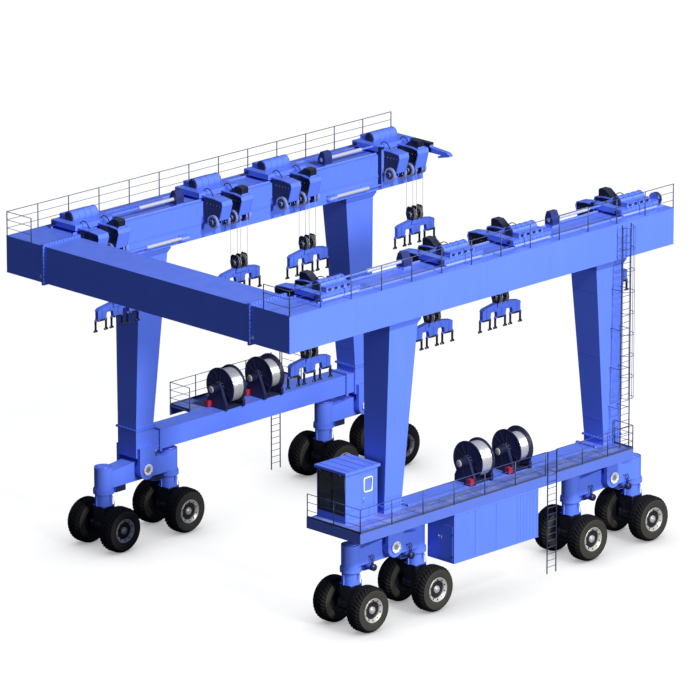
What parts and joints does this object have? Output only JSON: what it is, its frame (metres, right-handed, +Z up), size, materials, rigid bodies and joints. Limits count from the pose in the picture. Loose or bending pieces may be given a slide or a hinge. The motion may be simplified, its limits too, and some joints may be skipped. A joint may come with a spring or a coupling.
{
  "type": "mobile boat hoist",
  "caption": "Rubber-tyred portal frame, open at the front, that lifts a boat on slings hung from trolleys on its two long girders and carries it over ground.",
  "frame": {"origin": "ground level, middle of the plan box, under the middle of the boat bay", "axes": "+Z up, +Y towards the open front of the bay, +X to the side with the cab and machinery house"},
  "size_m": [19.18, 23.88, 16.0998],
  "materials": {
    "blue_paint": "satin",
    "navy_paint": "satin",
    "tyre_rubber": "matte",
    "bright_steel": "satin",
    "rope_wire": "satin",
    "rail_paint": "satin",
    "clear_glass": "glossy"
  },
  "bodies": {
    "frame": {"crossbeam": "blue_paint", "girders": "blue_paint", "legs": "blue_paint", "saddles": "blue_paint", "sills": "blue_paint", "walkways": "blue_paint", "rails_and_ladders": "rail_paint", "machinery_house": "blue_paint", "cab": "blue_paint", "cab_glass": "clear_glass", "reel_stands": "navy_paint"},
    "rocker_back_left": {"rocker_back_left": "blue_paint"},
    "yoke_back_left_a": {"yoke_back_left_a": "blue_paint"},
    "wheels_back_left_a": {"wheels_back_left_a": "tyre_rubber"},
    "yoke_back_left_b": {"yoke_back_left_b": "blue_paint"},
    "wheels_back_left_b": {"wheels_back_left_b": "tyre_rubber"},
    "rocker_back_right": {"rocker_back_right": "blue_paint"},
    "yoke_back_right_a": {"yoke_back_right_a": "blue_paint"},
    "wheels_back_right_a": {"wheels_back_right_a": "tyre_rubber"},
    "yoke_back_right_b": {"yoke_back_right_b": "blue_paint"},
    "wheels_back_right_b": {"wheels_back_right_b": "tyre_rubber"},
    "rocker_front_left": {"rocker_front_left": "blue_paint"},
    "yoke_front_left_a": {"yoke_front_left_a": "blue_paint"},
    "wheels_front_left_a": {"wheels_front_left_a": "tyre_rubber"},
    "yoke_front_left_b": {"yoke_front_left_b": "blue_paint"},
    "wheels_front_left_b": {"wheels_front_left_b": "tyre_rubber"},
    "rocker_front_right": {"rocker_front_right": "blue_paint"},
    "yoke_front_right_a": {"yoke_front_right_a": "blue_paint"},
    "wheels_front_right_a": {"wheels_front_right_a": "tyre_rubber"},
    "yoke_front_right_b": {"yoke_front_right_b": "blue_paint"},
    "wheels_front_right_b": {"wheels_front_right_b": "tyre_rubber"},
    "trolley_left_1": {"trolley_left_1": "blue_paint", "ropes_left_1": "rope_wire"},
    "spreader_left_1": {"spreader_left_1": "blue_paint"},
    "trolley_left_2": {"trolley_left_2": "blue_paint", "ropes_left_2": "rope_wire"},
    "spreader_left_2": {"spreader_left_2": "blue_paint"},
    "trolley_left_3": {"trolley_left_3": "blue_paint", "ropes_left_3": "rope_wire"},
    "spreader_left_3": {"spreader_left_3": "blue_paint"},
    "trolley_left_4": {"trolley_left_4": "blue_paint", "ropes_left_4": "rope_wire"},
    "spreader_left_4": {"spreader_left_4": "blue_paint"},
    "reel_left_1": {"reel_left_1": "bright_steel"},
    "reel_left_2": {"reel_left_2": "bright_steel"},
    "trolley_right_1": {"trolley_right_1": "blue_paint", "ropes_right_1": "rope_wire"},
    "spreader_right_1": {"spreader_right_1": "blue_paint"},
    "trolley_right_2": {"trolley_right_2": "blue_paint", "ropes_right_2": "rope_wire"},
    "spreader_right_2": {"spreader_right_2": "blue_paint"},
    "trolley_right_3": {"trolley_right_3": "blue_paint", "ropes_right_3": "rope_wire"},
    "spreader_right_3": {"spreader_right_3": "blue_paint"},
    "trolley_right_4": {"trolley_right_4": "blue_paint", "ropes_right_4": "rope_wire"},
    "spreader_right_4": {"spreader_right_4": "blue_paint"},
    "reel_right_1": {"reel_right_1": "bright_steel"},
    "reel_right_2": {"reel_right_2": "bright_steel"},
    "cab_door": {"cab_door": "blue_paint"}
  },
  "joints": [
    {"name": "rock_back_left", "type": "hinge", "parent": "frame", "child": "rocker_back_left", "pos_m": [-7.69, -5.24, 3.27], "axis": [1, 0, 0], "range_deg": [-2.5, 2.5]},
    {"name": "steer_back_left_a", "type": "hinge", "parent": "rocker_back_left", "child": "yoke_back_left_a", "pos_m": [-7.69, -7.21, 2.66], "axis": [0, 0, 1], "range_deg": [-30, 30]},
    {"name": "roll_back_left_a", "type": "hinge", "parent": "yoke_back_left_a", "child": "wheels_back_left_a", "pos_m": [-7.69, -7.21, 1.02], "axis": [1, 0, 0], "continuous": true},
    {"name": "steer_back_left_b", "type": "hinge", "parent": "rocker_back_left", "child": "yoke_back_left_b", "pos_m": [-7.69, -3.27, 2.66], "axis": [0, 0, 1], "range_deg": [-30, 30]},
    {"name": "roll_back_left_b", "type": "hinge", "parent": "yoke_back_left_b", "child": "wheels_back_left_b", "pos_m": [-7.69, -3.27, 1.02], "axis": [1, 0, 0], "continuous": true},
    {"name": "rock_back_right", "type": "hinge", "parent": "frame", "child": "rocker_back_right", "pos_m": [7.69, -5.24, 3.27], "axis": [1, 0, 0], "range_deg": [-2.5, 2.5]},
    {"name": "steer_back_right_a", "type": "hinge", "parent": "rocker_back_right", "child": "yoke_back_right_a", "pos_m": [7.69, -7.21, 2.66], "axis": [0, 0, 1], "range_deg": [-30, 30]},
    {"name": "roll_back_right_a", "type": "hinge", "parent": "yoke_back_right_a", "child": "wheels_back_right_a", "pos_m": [7.69, -7.21, 1.02], "axis": [1, 0, 0], "continuous": true},
    {"name": "steer_back_right_b", "type": "hinge", "parent": "rocker_back_right", "child": "yoke_back_right_b", "pos_m": [7.69, -3.27, 2.66], "axis": [0, 0, 1], "range_deg": [-30, 30]},
    {"name": "roll_back_right_b", "type": "hinge", "parent": "yoke_back_right_b", "child": "wheels_back_right_b", "pos_m": [7.69, -3.27, 1.02], "axis": [1, 0, 0], "continuous": true},
    {"name": "rock_front_left", "type": "hinge", "parent": "frame", "child": "rocker_front_left", "pos_m": [-7.69, 8.45, 3.27], "axis": [1, 0, 0], "range_deg": [-2.5, 2.5]},
    {"name": "steer_front_left_a", "type": "hinge", "parent": "rocker_front_left", "child": "yoke_front_left_a", "pos_m": [-7.69, 6.48, 2.66], "axis": [0, 0, 1], "range_deg": [-30, 30]},
    {"name": "roll_front_left_a", "type": "hinge", "parent": "yoke_front_left_a", "child": "wheels_front_left_a", "pos_m": [-7.69, 6.48, 1.02], "axis": [1, 0, 0], "continuous": true},
    {"name": "steer_front_left_b", "type": "hinge", "parent": "rocker_front_left", "child": "yoke_front_left_b", "pos_m": [-7.69, 10.42, 2.66], "axis": [0, 0, 1], "range_deg": [-30, 30]},
    {"name": "roll_front_left_b", "type": "hinge", "parent": "yoke_front_left_b", "child": "wheels_front_left_b", "pos_m": [-7.69, 10.42, 1.02], "axis": [1, 0, 0], "continuous": true},
    {"name": "rock_front_right", "type": "hinge", "parent": "frame", "child": "rocker_front_right", "pos_m": [7.69, 8.45, 3.27], "axis": [1, 0, 0], "range_deg": [-2.5, 2.5]},
    {"name": "steer_front_right_a", "type": "hinge", "parent": "rocker_front_right", "child": "yoke_front_right_a", "pos_m": [7.69, 6.48, 2.66], "axis": [0, 0, 1], "range_deg": [-30, 30]},
    {"name": "roll_front_right_a", "type": "hinge", "parent": "yoke_front_right_a", "child": "wheels_front_right_a", "pos_m": [7.69, 6.48, 1.02], "axis": [1, 0, 0], "continuous": true},
    {"name": "steer_front_right_b", "type": "hinge", "parent": "rocker_front_right", "child": "yoke_front_right_b", "pos_m": [7.69, 10.42, 2.66], "axis": [0, 0, 1], "range_deg": [-30, 30]},
    {"name": "roll_front_right_b", "type": "hinge", "parent": "yoke_front_right_b", "child": "wheels_front_right_b", "pos_m": [7.69, 10.42, 1.02], "axis": [1, 0, 0], "continuous": true},
    {"name": "travel_left_1", "type": "slide", "parent": "frame", "child": "trolley_left_1", "axis": [0, 1, 0], "range_m": [-0.1, 1.4]},
    {"name": "hoist_left_1", "type": "slide", "parent": "trolley_left_1", "child": "spreader_left_1", "axis": [0, 0, 1], "range_m": [-8.3, 1.2], "deforming": ["ropes_left_1"]},
    {"name": "travel_left_2", "type": "slide", "parent": "frame", "child": "trolley_left_2", "axis": [0, 1, 0], "range_m": [-0.8, 0.8]},
    {"name": "hoist_left_2", "type": "slide", "parent": "trolley_left_2", "child": "spreader_left_2", "axis": [0, 0, 1], "range_m": [-8.3, 1.2], "deforming": ["ropes_left_2"]},
    {"name": "travel_left_3", "type": "slide", "parent": "frame", "child": "trolley_left_3", "axis": [0, 1, 0], "range_m": [-0.8, 0.8]},
    {"name": "hoist_left_3", "type": "slide", "parent": "trolley_left_3", "child": "spreader_left_3", "axis": [0, 0, 1], "range_m": [-8.3, 1.2], "deforming": ["ropes_left_3"]},
    {"name": "travel_left_4", "type": "slide", "parent": "frame", "child": "trolley_left_4", "axis": [0, 1, 0], "range_m": [-0.7, 0.3]},
    {"name": "hoist_left_4", "type": "slide", "parent": "trolley_left_4", "child": "spreader_left_4", "axis": [0, 0, 1], "range_m": [-8.3, 1.2], "deforming": ["ropes_left_4"]},
    {"name": "wind_left_1", "type": "hinge", "parent": "frame", "child": "reel_left_1", "pos_m": [-7.69, 0.35, 5.8], "axis": [0, 1, 0], "continuous": true},
    {"name": "wind_left_2", "type": "hinge", "parent": "frame", "child": "reel_left_2", "pos_m": [-7.69, 2.76, 5.8], "axis": [0, 1, 0], "continuous": true},
    {"name": "travel_right_1", "type": "slide", "parent": "frame", "child": "trolley_right_1", "axis": [0, 1, 0], "range_m": [-0.1, 1.4]},
    {"name": "hoist_right_1", "type": "slide", "parent": "trolley_right_1", "child": "spreader_right_1", "axis": [0, 0, 1], "range_m": [-8.3, 1.2], "deforming": ["ropes_right_1"]},
    {"name": "travel_right_2", "type": "slide", "parent": "frame", "child": "trolley_right_2", "axis": [0, 1, 0], "range_m": [-0.8, 0.8]},
    {"name": "hoist_right_2", "type": "slide", "parent": "trolley_right_2", "child": "spreader_right_2", "axis": [0, 0, 1], "range_m": [-8.3, 1.2], "deforming": ["ropes_right_2"]},
    {"name": "travel_right_3", "type": "slide", "parent": "frame", "child": "trolley_right_3", "axis": [0, 1, 0], "range_m": [-0.8, 0.8]},
    {"name": "hoist_right_3", "type": "slide", "parent": "trolley_right_3", "child": "spreader_right_3", "axis": [0, 0, 1], "range_m": [-8.3, 1.2], "deforming": ["ropes_right_3"]},
    {"name": "travel_right_4", "type": "slide", "parent": "frame", "child": "trolley_right_4", "axis": [0, 1, 0], "range_m": [-0.7, 0.3]},
    {"name": "hoist_right_4", "type": "slide", "parent": "trolley_right_4", "child": "spreader_right_4", "axis": [0, 0, 1], "range_m": [-8.3, 1.2], "deforming": ["ropes_right_4"]},
    {"name": "wind_right_1", "type": "hinge", "parent": "frame", "child": "reel_right_1", "pos_m": [7.69, 0.35, 5.8], "axis": [0, 1, 0], "continuous": true},
    {"name": "wind_right_2", "type": "hinge", "parent": "frame", "child": "reel_right_2", "pos_m": [7.69, 2.76, 5.8], "axis": [0, 1, 0], "continuous": true},
    {"name": "cab_door_hinge", "type": "hinge", "parent": "frame", "child": "cab_door", "pos_m": [8.132, -6.204, 5.883], "axis": [0, 0, 1], "range_deg": [0, 100]}
  ]
}
